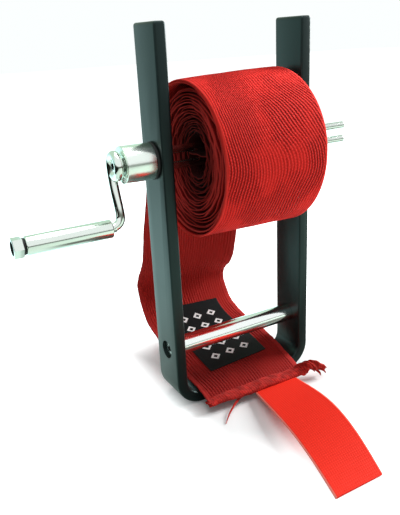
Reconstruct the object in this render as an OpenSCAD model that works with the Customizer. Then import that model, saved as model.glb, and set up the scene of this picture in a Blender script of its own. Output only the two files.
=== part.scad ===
// Hand wrap roller: a bent flat-bar frame, a fork spindle with a crank, and a wound elastic wrap.
// Millimetres. X runs along the spindle (crank on the left), Y to the back, Z up.
// The origin is the middle of the frame's underside.

/* [Frame] */
// Height of the uprights above the table
frame_height = 180; // [165:1:220]
// Clear width between the two uprights
frame_gap = 69; // [66:0.5:90]
// Depth of the flat bar, front to back
bar_depth = 20; // [19:0.5:30]
// Thickness of the flat bar
bar_thickness = 5.5; // [5:0.5:8]
// Inside radius of the two bottom bends
bend_radius = 8; // [4:0.5:14]
// Corner radius at the top of each upright
top_corner = 1.6; // [0.5:0.1:5]

/* [Guide rod] */
// Diameter of the rod that the wrap runs under
rod_d = 9.4; // [8:0.1:12]
// Height of the rod's axis above the table
rod_height = 29; // [26:0.5:40]
// Head diameter of the screws that hold the rod
rod_screw_head_d = 8.5; // [7:0.1:10]
// Head height of those screws
rod_screw_head_h = 2.2; // [1.5:0.1:2.6]
// Shank diameter of those screws
rod_screw_shank_d = 4.8; // [4:0.1:5.5]
// Depth that each screw runs into the rod
rod_screw_reach = 9; // [5:0.5:20]
// How deep the heads sit below the bar's outer face
rod_screw_recess = 1.5; // [0:0.1:1.8]
// Width across flats of the sockets in the screw heads
rod_screw_socket = 3; // [2:0.1:3.5]

/* [Spindle] */
// Height of the spindle's axis above the table
spindle_height = 123; // [118:0.5:140]
// Diameter of the hub outside the frame
hub_d = 15.4; // [14:0.1:18]
// Length of the hub outside the frame
hub_length = 15; // [10:0.5:30]
// Diameter of each prong of the fork
prong_d = 3.1; // [2.5:0.1:3.5]
// Distance between the prongs' axes
prong_spacing = 7.7; // [6:0.1:8.5]
// Length of the prongs past the right upright
prong_reach = 31; // [10:1:50]
// Depth that each prong is set into the hub
prong_seat = 14; // [8:0.5:16]
// Diameter of the black thrust washer
thrust_washer_d = 17.8; // [16:0.1:18.5]
// Thickness of the black thrust washer
thrust_washer_t = 1.2; // [0.6:0.1:2.5]

/* [Crank] */
// Distance from the spindle's axis to the handle's axis
crank_throw = 27; // [20:0.5:45]
// Diameter of the crank arm's rod
arm_d = 4; // [3:0.1:5]
// Centre-line radius of the arm's bend
arm_bend = 4; // [3:0.5:8]
// Diameter of the eye at the arm's top
eye_d = 10; // [8:0.1:14]
// Thickness of the eye
eye_t = 4; // [3:0.1:8]
// Head diameter of the screw through the eye
arm_screw_head_d = 6.6; // [5:0.1:7.5]
// Head height of that screw
arm_screw_head_h = 2; // [1.5:0.1:4]
// Shank diameter of that screw
arm_screw_shank_d = 3.8; // [2.5:0.1:4.5]
// Depth that the screw runs into the hub
arm_screw_reach = 6; // [4:0.5:9]
// Width across flats of the socket in its head
arm_screw_socket = 2.4; // [1.5:0.1:3]

/* [Handle] */
// Outside diameter of the turning sleeve
sleeve_d = 8.2; // [7:0.1:16]
// Length of the turning sleeve
sleeve_length = 38; // [25:0.5:80]
// Chamfer on the sleeve's ends
sleeve_chamfer = 0.6; // [0.2:0.1:1.2]
// Diameter of the washer between sleeve and nut
handle_washer_d = 7.2; // [6.5:0.1:12]
// Thickness of that washer
handle_washer_t = 0.9; // [0.5:0.1:2]
// Width across flats of the end nut
nut_flats = 8; // [7:0.1:13]
// Thickness of the end nut
nut_t = 4.2; // [3:0.1:8]
// Length of the axle left standing past the nut
axle_stub = 0.5; // [0:0.1:3]

/* [Wrap roll] */
// Width of the wrap as wound
roll_width = 51; // [40:0.5:54]
// Middle of the roll, to the right of the frame's middle
roll_offset = 1.5; // [-3:0.5:3]
// Thickness of the wrap
wrap_t = 0.85; // [0.6:0.05:0.9]
// Turns in the roll
roll_turns = 20; // [6:1:24]
// Radius of the open core
core_radius = 10; // [8.5:0.25:12]
// Growth of the radius with each turn
turn_pitch = 1.33; // [1.31:0.01:1.5]
// How far the roll hangs below the spindle's axis
roll_sag = 1.2; // [0:0.1:1.5]
// Length of the inner end past the spindle's axis
tuck_length = 6.5; // [4:0.25:7]

/* [Wrap tail] */
// Thickness of the relaxed wrap
tail_t = 0.9; // [0.6:0.1:1.5]
// Width of the tail at the hem, where it is relaxed
tail_width = 57; // [52:0.5:62]
// Angle above level at which the tail leaves the back of the roll
leave_angle = 8; // [0:1:25]
// How far the hanging loop stands behind the spindle
loop_back = 60; // [55:1:80]
// Height of the loop's rearmost point
loop_height = 36; // [30:1:50]
// Height of the tail above the frame's base bar
tail_lift = 3.4; // [2:0.1:6]
// How far the right edge of the tail stands in front of the left in the loop
tail_twist = 10; // [0:0.5:14]
// How far the right edge of the tail stands above its middle behind the rod
tail_rise = 2.4; // [0:0.1:3]
// Depth of the fold along the right side of the hanging stretch
fold_depth = 5; // [0:0.5:6]

/* [Wrap end] */
// Front-to-back size of the rolled hem
hem_depth = 8.5; // [6:0.5:12]
// Height of the rolled hem
hem_h = 5; // [3.5:0.1:6]
// Gap between the frame's front face and the hem
hem_gap = 6; // [3:0.5:15]
// Height of the hem's middle above the table
hem_z = 4.5; // [3.2:0.1:7]
// Turn of the hem as seen from above, in degrees
hem_yaw = -1; // [-4:0.5:4]
// Length of the twisted loose end at the right of the hem
tuft_length = 9; // [3:0.5:14]
// Diameter of that loose end
tuft_d = 4; // [2.5:0.1:4.5]
// Swing of that loose end to the front, in degrees
tuft_swing = 24; // [0:1:40]
// Width of the sewn label
label_width = 35; // [20:1:45]
// Length of the sewn label
label_length = 56; // [20:1:65]
// Thickness of the sewn label
label_t = 0.4; // [0.3:0.1:0.8]
// Middle of the label, to the right of the tail's middle
label_offset = 1.5; // [-4:0.5:4]
// Width of the hook strip
strip_width = 25.5; // [15:0.5:40]
// Length of the hook strip, as seen from above
strip_length = 80; // [40:1:120]
// Thickness of the hook strip
strip_t = 1.3; // [0.8:0.1:2]
// Height of the hook strip's arch
strip_arch = 6.5; // [4:0.5:16]
// How far the strip's right edge stands up, and its left edge down, in the arch
strip_lean = 2; // [0:0.1:3]
// Swing of the hook strip to the left, in degrees
strip_swing = 11; // [0:0.5:20]
// Middle of the strip's sewn end, to the right of the frame's middle
strip_offset = 10.5; // [0:0.5:15]

/* [Fits] */
// Radial clearance of turning fits
running_fit = 0.05; // [0.02:0.01:0.1]
// Radial clearance of screws and threads
thread_fit = 0.03; // [0.01:0.01:0.1]
// Radial clearance round sunk screw heads
head_fit = 0.3; // [0.1:0.05:0.4]
// Clearance between flat faces that turn against each other
face_gap = 0.1; // [0.05:0.05:0.3]
// Clearance kept round cloth
cloth_gap = 0.3; // [0.3:0.05:0.6]

/* [Hidden] */
$fn = 64;

// Overshoot of cutting tools
cut = 1;
// Share of a screw head's height that its socket takes
socket_share = 0.7;

// Frame
inner_x = frame_gap / 2;
outer_x = inner_x + bar_thickness;

// Spindle: both uprights have the same bore, which the prongs and the hub's journal just fill
journal_d = prong_spacing + prong_d;
spindle_bore_d = journal_d + 2 * running_fit;
hub_inner_x = -outer_x - 2 * face_gap - thrust_washer_t;
hub_outer_x = hub_inner_x - hub_length;
prong_tip_x = outer_x + prong_reach;

// Crank and handle, left of the hub
arm_x = hub_outer_x - eye_t / 2;
handle_z = spindle_height - crank_throw;
axle_start_x = arm_x - arm_bend;
sleeve_right_x = axle_start_x - face_gap;
sleeve_left_x = sleeve_right_x - sleeve_length;
washer_left_x = sleeve_left_x - 2 * face_gap - handle_washer_t;
nut_left_x = washer_left_x - nut_t;

// Guide rod screws: heads sink into counterbores
counterbore_depth = rod_screw_recess + rod_screw_head_h;
counterbore_d = rod_screw_head_d + 2 * head_fit;

// Roll
roll_z = spindle_height - roll_sag;
roll_r = core_radius + turn_pitch * roll_turns;
roll_left_x = roll_offset - roll_width / 2;
loop_points = 24;

// Hem and strip
hem_y = -bar_depth / 2 - hem_gap - hem_depth / 2;
hem_length = tail_width + 1;

// Circle that the turning roll sweeps, with the tail's middle surface just outside it
leave_r = roll_r + wrap_t / 2 + roll_sag + cloth_gap + tail_t / 2;

// Cylinder along X from one place to another
module bar_x(from_x, to_x, d, z) {
    translate([min(from_x, to_x), 0, z])
        rotate([0, 90, 0])
            cylinder(d = d, h = abs(to_x - from_x));
}

// Hexagonal prism along X
module hex_x(from_x, to_x, flats, z) {
    translate([min(from_x, to_x), 0, z])
        rotate([0, 90, 0])
            cylinder(d = flats / cos(30), h = abs(to_x - from_x), $fn = 6);
}

// U-shaped area: flat bottom at zero, two rounded lower corners, open upwards
module u_area(half_width, corner, height) {
    translate([-half_width + corner, 0])
        square([2 * (half_width - corner), height]);
    translate([-half_width, corner])
        square([2 * half_width, height - corner]);
    for (side = [-1, 1])
        translate([side * (half_width - corner), corner])
            circle(r = corner);
}

// The bent bar as an outline in X and Z
module bar_outline() {
    difference() {
        u_area(outer_x, bend_radius + bar_thickness, frame_height);
        translate([0, bar_thickness])
            u_area(inner_x, bend_radius, frame_height);
    }
}

// Side outline of the bar in Y and Z, with rounded top corners
module side_outline() {
    translate([-bar_depth / 2, 0])
        square([bar_depth, frame_height - top_corner]);
    translate([-bar_depth / 2 + top_corner, 0])
        square([bar_depth - 2 * top_corner, frame_height]);
    for (side = [-1, 1])
        translate([side * (bar_depth / 2 - top_corner), frame_height - top_corner])
            circle(r = top_corner);
}

module frame() {
    color("#22282b")
        difference() {
            intersection() {
                translate([0, bar_depth / 2, 0])
                    rotate([90, 0, 0])
                        linear_extrude(bar_depth)
                            bar_outline();
                translate([-outer_x - cut, 0, 0])
                    rotate([90, 0, 90])
                        linear_extrude(2 * (outer_x + cut))
                            side_outline();
            }
            bar_x(-outer_x - cut, outer_x + cut, spindle_bore_d, spindle_height);
            bar_x(-outer_x - cut, outer_x + cut, rod_screw_shank_d + 2 * thread_fit, rod_height);
            for (side = [-1, 1])
                bar_x(side * (outer_x - counterbore_depth), side * (outer_x + cut), counterbore_d, rod_height);
        }
}

module guide_rod() {
    color("silver")
        difference() {
            bar_x(-inner_x, inner_x, rod_d, rod_height);
            for (side = [-1, 1])
                bar_x(
                    side * (inner_x - rod_screw_reach - cut), side * (inner_x + cut),
                    rod_screw_shank_d + 2 * thread_fit, rod_height
                );
        }
}

// Recessed socket screw that holds one end of the guide rod
module rod_screw(side) {
    head_in_x = outer_x - counterbore_depth;
    head_out_x = outer_x - rod_screw_recess;
    color("gainsboro")
        difference() {
            union() {
                bar_x(side * head_in_x, side * head_out_x, rod_screw_head_d, rod_height);
                bar_x(side * (inner_x - rod_screw_reach), side * head_in_x, rod_screw_shank_d, rod_height);
            }
            hex_x(
                side * (head_out_x - rod_screw_head_h * socket_share), side * (head_out_x + cut),
                rod_screw_socket, rod_height
            );
        }
}

module rod_screw_left() {
    rod_screw(-1);
}

module rod_screw_right() {
    rod_screw(1);
}

module hub() {
    color("silver")
        difference() {
            union() {
                bar_x(hub_outer_x, hub_inner_x, hub_d, spindle_height);
                bar_x(hub_inner_x, -inner_x, journal_d, spindle_height);
            }
            for (side = [-1, 1])
                bar_x(
                    -inner_x - prong_seat, -inner_x + cut, prong_d + 2 * thread_fit,
                    spindle_height + side * prong_spacing / 2
                );
            bar_x(
                hub_outer_x - cut, hub_outer_x + arm_screw_reach + cut,
                arm_screw_shank_d + 2 * thread_fit, spindle_height
            );
        }
}

// One round-tipped prong of the fork
module prong(side) {
    prong_z = spindle_height + side * prong_spacing / 2;
    color("silver")
        union() {
            bar_x(-inner_x - prong_seat, prong_tip_x - prong_d / 2, prong_d, prong_z);
            translate([prong_tip_x - prong_d / 2, 0, prong_z])
                sphere(d = prong_d);
        }
}

module prong_upper() {
    prong(1);
}

module prong_lower() {
    prong(-1);
}

module thrust_washer() {
    color("#141414")
        difference() {
            bar_x(-outer_x - face_gap - thrust_washer_t, -outer_x - face_gap, thrust_washer_d, spindle_height);
            bar_x(-outer_x - face_gap - thrust_washer_t - cut, -outer_x, spindle_bore_d, spindle_height);
        }
}

module crank_arm() {
    color("silver")
        difference() {
            union() {
                bar_x(hub_outer_x - eye_t, hub_outer_x, eye_d, spindle_height);
                translate([arm_x, 0, handle_z + arm_bend])
                    cylinder(d = arm_d, h = crank_throw - arm_bend);
                translate([axle_start_x, 0, handle_z + arm_bend])
                    rotate([90, 0, 0])
                        rotate_extrude(angle = -90)
                            translate([arm_bend, 0])
                                circle(d = arm_d);
                bar_x(nut_left_x - axle_stub, axle_start_x, arm_d, handle_z);
            }
            bar_x(
                hub_outer_x - eye_t - cut, hub_outer_x + cut,
                arm_screw_shank_d + 2 * thread_fit, spindle_height
            );
        }
}

module arm_screw() {
    head_x = hub_outer_x - eye_t;
    color("gainsboro")
        difference() {
            union() {
                bar_x(head_x - arm_screw_head_h, head_x, arm_screw_head_d, spindle_height);
                bar_x(head_x, hub_outer_x + arm_screw_reach, arm_screw_shank_d, spindle_height);
            }
            hex_x(
                head_x - arm_screw_head_h - cut, head_x - arm_screw_head_h * (1 - socket_share),
                arm_screw_socket, spindle_height
            );
        }
}

module handle_sleeve() {
    bore_r = arm_d / 2 + running_fit;
    outer_r = sleeve_d / 2;
    color("silver")
        translate([sleeve_left_x, 0, handle_z])
            rotate([0, 90, 0])
                rotate_extrude()
                    polygon([
                        [bore_r, 0],
                        [outer_r - sleeve_chamfer, 0],
                        [outer_r, sleeve_chamfer],
                        [outer_r, sleeve_length - sleeve_chamfer],
                        [outer_r - sleeve_chamfer, sleeve_length],
                        [bore_r, sleeve_length]
                    ]);
}

module handle_washer() {
    color("#1a1a1a")
        difference() {
            bar_x(washer_left_x, washer_left_x + handle_washer_t, handle_washer_d, handle_z);
            bar_x(washer_left_x - cut, washer_left_x + handle_washer_t + cut, arm_d + 2 * thread_fit, handle_z);
        }
}

module handle_nut() {
    color("gainsboro")
        difference() {
            hex_x(nut_left_x, washer_left_x, nut_flats, handle_z);
            bar_x(nut_left_x - cut, washer_left_x + cut, arm_d + 2 * thread_fit, handle_z);
        }
}

// Wound strip in Y and Z about the roll's middle: the inner end passes between the prongs and rests
// on the lower one, folds down at the core's wall and winds outwards clockwise
tuck_z = roll_sag - prong_spacing / 2 + prong_d / 2 + cloth_gap + wrap_t / 2;
roll_start_angle = asin(tuck_z / core_radius);
roll_path = concat(
    [[-tuck_length, tuck_z]],
    [for (i = [0 : roll_turns * loop_points])
        let (r = core_radius + turn_pitch * i / loop_points, a = roll_start_angle - 360 * i / loop_points)
            [r * cos(a), r * sin(a)]]
);

// Unit vector square to the path at one of its points
function path_normal(path, i) =
    let (
        d = path[min(i + 1, len(path) - 1)] - path[max(i - 1, 0)],
        u = d / norm(d)
    )
    [-u[1], u[0]];

// Least distance between points of the path that are half a loop or more apart, less the strip's thickness
roll_gap = min([
    for (i = [0 : len(roll_path) - 1])
        for (j = [i + loop_points / 2 : 1 : min(i + 2 * loop_points, len(roll_path) - 1)])
            norm(roll_path[i] - roll_path[j])
]) - wrap_t;
echo(least_gap_between_turns = roll_gap);

module wrap_roll() {
    last = len(roll_path) - 1;
    color("firebrick")
        translate([roll_left_x, 0, roll_z])
            rotate([90, 0, 90])
                linear_extrude(roll_width)
                    polygon(concat(
                        [for (i = [0 : last]) roll_path[i] + path_normal(roll_path, i) * wrap_t / 2],
                        [for (i = [last : -1 : 0]) roll_path[i] - path_normal(roll_path, i) * wrap_t / 2]
                    ));
}

// Route of the tail's middle line: [y, z, lead of the left edge, rise of the right edge, half width, fold]
leave_y = leave_r * cos(leave_angle);
leave_z = spindle_height + leave_r * sin(leave_angle);
hang = leave_z - loop_height;
swell = loop_back - leave_y;
half_roll = roll_width / 2;
half_end = tail_width / 2;
half_mid = mix(half_roll, half_end, 0.4);
half_twist = tail_twist / 2;
under_z = bar_thickness + tail_lift;
bar_back_y = bar_depth / 2;
tail_route = [
    [leave_y, leave_z, 0, 0, half_roll, 0],
    [leave_y + swell * 0.20, leave_z - hang * 0.29, 0, 0, half_roll, fold_depth / 4],
    [leave_y + swell * 0.32, leave_z - hang * 0.54, half_twist * 0.5, 0, half_mid, fold_depth],
    [leave_y + swell * 0.58, leave_z - hang * 0.80, half_twist * 0.8, 0, half_mid, fold_depth],
    [leave_y + swell * 0.91, leave_z - hang * 0.93, half_twist, 0, half_mid, fold_depth / 3],
    [loop_back, loop_height, half_twist, 0, half_mid, 0],
    [mix(loop_back, bar_back_y, 0.06), mix(loop_height, under_z, 0.3), half_twist, 0, half_mid, 0],
    [mix(loop_back, bar_back_y, 0.20), mix(loop_height, under_z, 0.6), half_twist, tail_rise * 0.6, half_mid, 0],
    [mix(loop_back, bar_back_y, 0.46), mix(loop_height, under_z, 0.77), half_twist * 0.8, tail_rise, half_mid, 0],
    [mix(loop_back, bar_back_y, 0.86), mix(loop_height, under_z, 0.9), half_twist * 0.4, tail_rise, half_end, 0],
    [0, under_z, 0, tail_rise * 0.75, half_end, 0],
    [-bar_back_y - hem_gap / 6, bar_thickness + tail_lift * 0.4, 0, tail_rise / 6, half_end, 0],
    [hem_y + hem_depth / 4, hem_z, 0, tail_rise / 6, half_end, 0]
];
tail_steps = 40;
tail_columns = [-1, -0.6, -0.2, 0.2, 0.5, 0.75, 1];

function mix(a, b, share) = a + (b - a) * share;

// Smooth curve through the rows of a list, for a place between 0 and 1
function along(rows, place) =
    let (
        last = len(rows) - 1,
        i = min(floor(place * last), last - 1),
        t = place * last - i,
        p0 = rows[max(i - 1, 0)],
        p1 = rows[i],
        p2 = rows[i + 1],
        p3 = rows[min(i + 2, last)]
    )
    0.5 * (2 * p1 + (p2 - p0) * t + (2 * p0 - 5 * p1 + 4 * p2 - p3) * t * t
        + (3 * p1 - p0 - 3 * p2 + p3) * t * t * t);

// Point of the tail: place along it, column from -1 (left) to 1 (right), height above its middle surface
function tail_point(place, column, height) =
    let (
        row = along(tail_route, place),
        step = along(tail_route, min(place + 0.005, 1)) - along(tail_route, max(place - 0.005, 0)),
        size = norm([step[0], step[1]]),
        up = [step[1], -step[0]] / size,
        lift = height + row[5] * pow(max(0, column - 0.2) / 0.8, 1.5)
    )
    [
        roll_offset * (1 - place) + column * row[4],
        row[0] - column * row[2] + up[0] * lift,
        row[1] + column * row[3] + up[1] * lift
    ];

// Closed thin sheet between two grids of points, rows by columns
module thin_sheet(upper, lower) {
    rows = len(upper);
    cols = len(upper[0]);
    first_low = rows * cols;
    function at(r, c) = r * cols + c;
    function quad(a, b, c, d) = [[a, b, c], [a, c, d]];
    faces = [
        for (r = [0 : rows - 2]) for (c = [0 : cols - 2])
            for (tri = concat(
                quad(at(r, c), at(r, c + 1), at(r + 1, c + 1), at(r + 1, c)),
                quad(first_low + at(r, c), first_low + at(r + 1, c),
                    first_low + at(r + 1, c + 1), first_low + at(r, c + 1))
            )) tri,
        for (r = [0 : rows - 2])
            for (tri = concat(
                quad(at(r, 0), at(r + 1, 0), first_low + at(r + 1, 0), first_low + at(r, 0)),
                quad(at(r + 1, cols - 1), at(r, cols - 1),
                    first_low + at(r, cols - 1), first_low + at(r + 1, cols - 1))
            )) tri,
        for (c = [0 : cols - 2])
            for (tri = concat(
                quad(at(0, c + 1), at(0, c), first_low + at(0, c), first_low + at(0, c + 1)),
                quad(at(rows - 1, c), at(rows - 1, c + 1),
                    first_low + at(rows - 1, c + 1), first_low + at(rows - 1, c))
            )) tri
    ];
    polyhedron(concat([for (row = upper) for (p = row) p], [for (row = lower) for (p = row) p]), faces);
}

module wrap_tail() {
    places = [for (i = [0 : tail_steps]) i / tail_steps];
    color("firebrick")
        thin_sheet(
            [for (u = places) [for (c = tail_columns) tail_point(u, c, tail_t / 2)]],
            [for (u = places) [for (c = tail_columns) tail_point(u, c, -tail_t / 2)]]
        );
}

// Rolled hem, with the twisted loose end at its right
module wrap_hem() {
    end_r = hem_h / 2;
    color("crimson")
        translate([0, hem_y, hem_z])
            rotate([0, 0, hem_yaw])
                union() {
                    translate([-hem_length / 2, 0, 0])
                        rotate([90, 0, 90])
                            linear_extrude(hem_length) {
                                square([hem_depth - hem_h, hem_h], center = true);
                                for (side = [-1, 1])
                                    translate([side * (hem_depth / 2 - end_r), 0])
                                        circle(r = end_r);
                            }
                    translate([hem_length / 2 - end_r, 0, 0])
                        rotate([0, 90, -tuft_swing])
                            cylinder(d1 = hem_h, d2 = tuft_d, h = end_r + tuft_length);
                }
}

// Label on the inner face of the tail, from just before the rod back into the loop
label_front = 0.835;
label_places = 14;
walk_step = 0.002;

// Place that lies a length back along the tail's middle line
function walk_back(place, left) =
    left <= 0 || place <= walk_step ? place
    : walk_back(
        place - walk_step,
        left - norm(tail_point(place, 0, 0) - tail_point(place - walk_step, 0, 0))
    );

module label_patch() {
    back = walk_back(label_front, label_length);
    places = [for (i = [0 : label_places]) mix(back, label_front, i / label_places)];
    middle = label_offset / half_end;
    reach = label_width / tail_width;
    columns = [for (k = [-1, -0.5, 0, 0.5, 1]) middle + k * reach];
    base = tail_t / 2 + cloth_gap / 2;
    color("#101010")
        thin_sheet(
            [for (u = places) [for (c = columns) tail_point(u, c, base + label_t)]],
            [for (u = places) [for (c = columns) tail_point(u, c, base)]]
        );
}

// Hook strip: sewn under the hem, arches forward and comes down on the table
strip_steps = 16;
strip_top_z = hem_z - hem_h / 4;

function strip_height(share) =
    mix(strip_top_z, strip_t / 2, share) + 4 * strip_arch * share * (1 - share);

function strip_point(share, column, height) =
    let (
        slope = (strip_height(min(share + 0.01, 1)) - strip_height(max(share - 0.01, 0)))
            / (strip_length * (min(share + 0.01, 1) - max(share - 0.01, 0))),
        lean = atan(slope),
        run = share * strip_length - height * sin(lean),
        bow = 4 * share * (1 - share)
    )
    [
        strip_offset + column * strip_width / 2 - run * sin(strip_swing),
        hem_y - run * cos(strip_swing),
        max(0, strip_height(share) + column * strip_lean * bow + height * cos(lean))
    ];

module hook_strip() {
    shares = [for (i = [0 : strip_steps]) i / strip_steps];
    columns = [-1, 0, 1];
    color("#ff3a2a")
        thin_sheet(
            [for (s = shares) [for (c = columns) strip_point(s, c, strip_t / 2)]],
            [for (s = shares) [for (c = columns) strip_point(s, c, -strip_t / 2)]]
        );
}

frame();
guide_rod();
rod_screw_left();
rod_screw_right();
hub();
prong_upper();
prong_lower();
thrust_washer();
crank_arm();
arm_screw();
handle_sleeve();
handle_washer();
handle_nut();
wrap_roll();
wrap_tail();
wrap_hem();
label_patch();
hook_strip();
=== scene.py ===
import math

import bmesh
import bpy
import numpy as np
from mathutils import Matrix, Vector


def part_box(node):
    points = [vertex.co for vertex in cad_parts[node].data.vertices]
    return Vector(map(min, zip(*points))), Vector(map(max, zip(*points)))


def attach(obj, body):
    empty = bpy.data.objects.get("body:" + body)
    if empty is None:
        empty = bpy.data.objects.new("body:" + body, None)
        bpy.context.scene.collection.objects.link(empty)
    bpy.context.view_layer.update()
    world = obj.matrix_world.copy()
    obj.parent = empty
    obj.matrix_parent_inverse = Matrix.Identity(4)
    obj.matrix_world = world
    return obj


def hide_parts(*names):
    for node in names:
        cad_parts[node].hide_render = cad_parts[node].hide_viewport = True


bl_info = {
    "name": "Hand Wrap Roller",
    "version": (1, 0, 0),
    "blender": (4, 5, 0),
    "location": "3D View > Sidebar > Roller",
    "description": "Dresses the frame, crank and wound wrap of a hand wrap roller",
    "category": "Object",
}

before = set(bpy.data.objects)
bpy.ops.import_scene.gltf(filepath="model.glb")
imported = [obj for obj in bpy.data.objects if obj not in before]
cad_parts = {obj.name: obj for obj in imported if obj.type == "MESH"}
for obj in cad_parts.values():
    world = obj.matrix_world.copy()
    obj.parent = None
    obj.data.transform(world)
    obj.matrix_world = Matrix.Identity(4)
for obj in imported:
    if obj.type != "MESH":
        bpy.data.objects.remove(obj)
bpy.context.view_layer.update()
MM = 0.001
TAU = 2 * math.pi
NEAR = 1e-6  # metres within which two places count as one

# Metal pieces, in metres unless a share is named.
BORE, JOURNAL = 10.9 * MM, 10.8 * MM  # holes in the uprights, and the hub's neck in them
PLAY = 0.1 * MM  # gap between pieces that turn or sit close together
TOP_EASE = 1.3 * MM  # rounding over the tops of the uprights
SEAT_DEPTH, SEAT_ROOM = 3.7 * MM, 0.6 * MM  # sunk holes, and the play round the screws in them
ROD_RIM = 0.1 * MM
SCREW_HEAD, SOCKET_DEPTH, SOCKET = 2.2 * MM, 1.5 * MM, 3.5 * MM  # of the rod's two screws
HUB_SWELL, RING_SHARE, SLEEVE_SWELL = 1.06, 0.94, 1.02  # width against the CAD node's
PRONG_SWELL, PRONG_PINCH, PRONG_TIP = 1.18, 0.09, 0.49  # width, share moved inward, tip rounding

# Cloth pieces, in millimetres unless MM is named.
TUCK = 0.27 * MM  # height of the wrap's inner end above the middle of the fork
ROLL_AXIS = 121.8 * MM  # height of the roll's middle
HALF_TAIL = 28.5  # half width of the tail in front, where the label is sewn on
HEM_Y, HEM_Z = -20.25, 4.5  # the middle of the hem
LABEL_WIDE, LABEL_LONG, LABEL_END = 35, 56, 0.835  # the end is a place along the tail
TAIL_HALF, LABEL_HALF, LABEL_GAP = 0.45, 0.2, 0.08  # half thicknesses, and the gap between
LOZENGE = 9.0  # one cell of the label's pattern
STRIP_WIDE = 25.5
HEM_PATH = [
    (4.1, 1.5), (1.5, 2.0), (-2.0, 2.0), (-3.6, 1.2), (-3.9, -0.3), (-2.9, -1.7), (0.0, -2.05),
    (3.0, -1.9), (3.8, -1.0), (2.8, -0.35), (0.0, -0.05), (-2.4, 0.3),
]
HEM_THREADS = [
    (
        [(-10.7, -20.7, 2.6), (-16.7, -24.4, 2.2), (-22.8, -28.7, 1.2), (-27.8, -33.4, 0.3)],
        [0.75, 0.6, 0.4, 0.12],
    ),
    ([(36.5, -24, 5.5), (39, -25.5, 5.4), (40.2, -26.5, 4.6)], [0.8, 0.6, 0.2]),
    ([(36.0, -24.5, 4.8), (38, -26.5, 3.9), (38.4, -28, 2.8)], [0.9, 0.6, 0.2]),
    ([(35.0, -23.5, 4.2), (35.8, -26, 2.9), (35.6, -27.2, 1.8)], [0.9, 0.6, 0.2]),
]
BACKDROP = (0.97, 1.0, 1.0)  # wall and floor as the eye sees them


def shade(red, green, blue):
    """A display colour from 0 to 255 as the linear colour that shaders use."""
    return tuple(
        c / 12.92 if c <= 0.04045 else ((c + 0.055) / 1.055) ** 2.4
        for c in (red / 255, green / 255, blue / 255)
    )


def scaled(colour, factor, lift=0.0):
    """A colour made lighter or darker, with no part of it above 1."""
    return tuple(min(1.0, c * factor + lift) for c in colour)


def span(node):
    """Left end, right end, height across and axis height of a CAD node along X."""
    low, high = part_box(node)
    return low[0], high[0], high[2] - low[2], (low[2] + high[2]) / 2


def number(name, description, default, unit="NONE"):
    return bpy.props.FloatProperty(
        name=name, description=description, default=default, unit=unit, precision=5
    )


def length(name, description, default):
    return number(name, description, default, "LENGTH")


def colour(name, description, default):
    return bpy.props.FloatVectorProperty(
        name=name, description=description, default=default, subtype="COLOR", min=0, soft_max=1
    )


class RollerMetal(bpy.types.PropertyGroup):
    """Sizes and colours of the frame, spindle and crank."""

    edge: length("Frame edge", "Radius along the edges of the flat bar", 0.9 * MM)
    hub_short: length("Hub set back", "How much shorter the hub is than its CAD node", 1.2 * MM)
    rim: length("Turned rim", "Rounding on the rims of the turned pieces", 0.35 * MM)
    inside_bend: length("Inside bend", "Inside radius of the frame's two bends", 8 * MM)
    paint: colour("Paint", "Satin black of the frame", (0.006, 0.0075, 0.0078))
    chrome: colour("Chrome", "Plated spindle, rod and handle", (0.84, 0.90, 0.845))
    steel: colour("Steel", "Screws", (0.62, 0.64, 0.63))
    nylon: colour("Nylon", "Black washers", (0.008, 0.008, 0.008))


class RollerWrap(bpy.types.PropertyGroup):
    """Sizes and colours of the wound wrap and its tail."""

    turns: bpy.props.IntProperty(
        name="Turns", description="Turns in the roll", default=20, min=4, max=24
    )
    core: length("Core radius", "Radius of the open core", 10 * MM)
    pitch: length("Turn pitch", "Growth of the radius with each turn", 1.27 * MM)
    slack: length("Slack", "Extra gap before the last turn", 1.2 * MM)
    thickness: length("Thickness", "Thickness of the wound wrap", 0.85 * MM)
    tail_thickness: length("Tail thickness", "Thickness of the relaxed wrap", 0.9 * MM)
    loop_back: length("Loop reach", "How far the hanging loop stands behind the spindle", 60 * MM)
    loop_height: length("Loop height", "Height of the loop's rearmost point", 36 * MM)
    red: colour("Red", "Lit ribs of the wrap", shade(247, 49, 41))
    # Painted shade: the grooves' darker red, and a darker copy of it for the core of the roll.
    shaded: colour("Deep red", "Grooves between the ribs", shade(160, 20, 17))
    # Painted shade: the tail's two reds are darker copies of the wound wrap's, for the tail in the
    # shade of the roll.
    tail_red_in_shade: colour("Tail red", "Ribs of the relaxed tail", shade(160, 34, 30))
    tail_groove_in_shade: colour("Tail deep red", "Grooves of the relaxed tail", shade(92, 11, 11))


class RollerEnd(bpy.types.PropertyGroup):
    """Sizes and colours of the hem, label and hook strip."""

    hem_thickness: length("Hem cloth", "Thickness of the hem's cloth", 0.7 * MM)
    hem_red: colour("Hem red", "Rolled hem", shade(230, 53, 45))
    label_black: colour("Label black", "Sewn satin label", shade(12, 16, 17))
    label_white: colour("Label white", "Woven pattern on the label", shade(252, 254, 253))
    hook_red: colour("Hook red", "Hook strip", shade(255, 52, 35))
    hook_edge: colour("Hook edge", "Pale selvage of the hook strip", shade(255, 150, 135))


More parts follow.
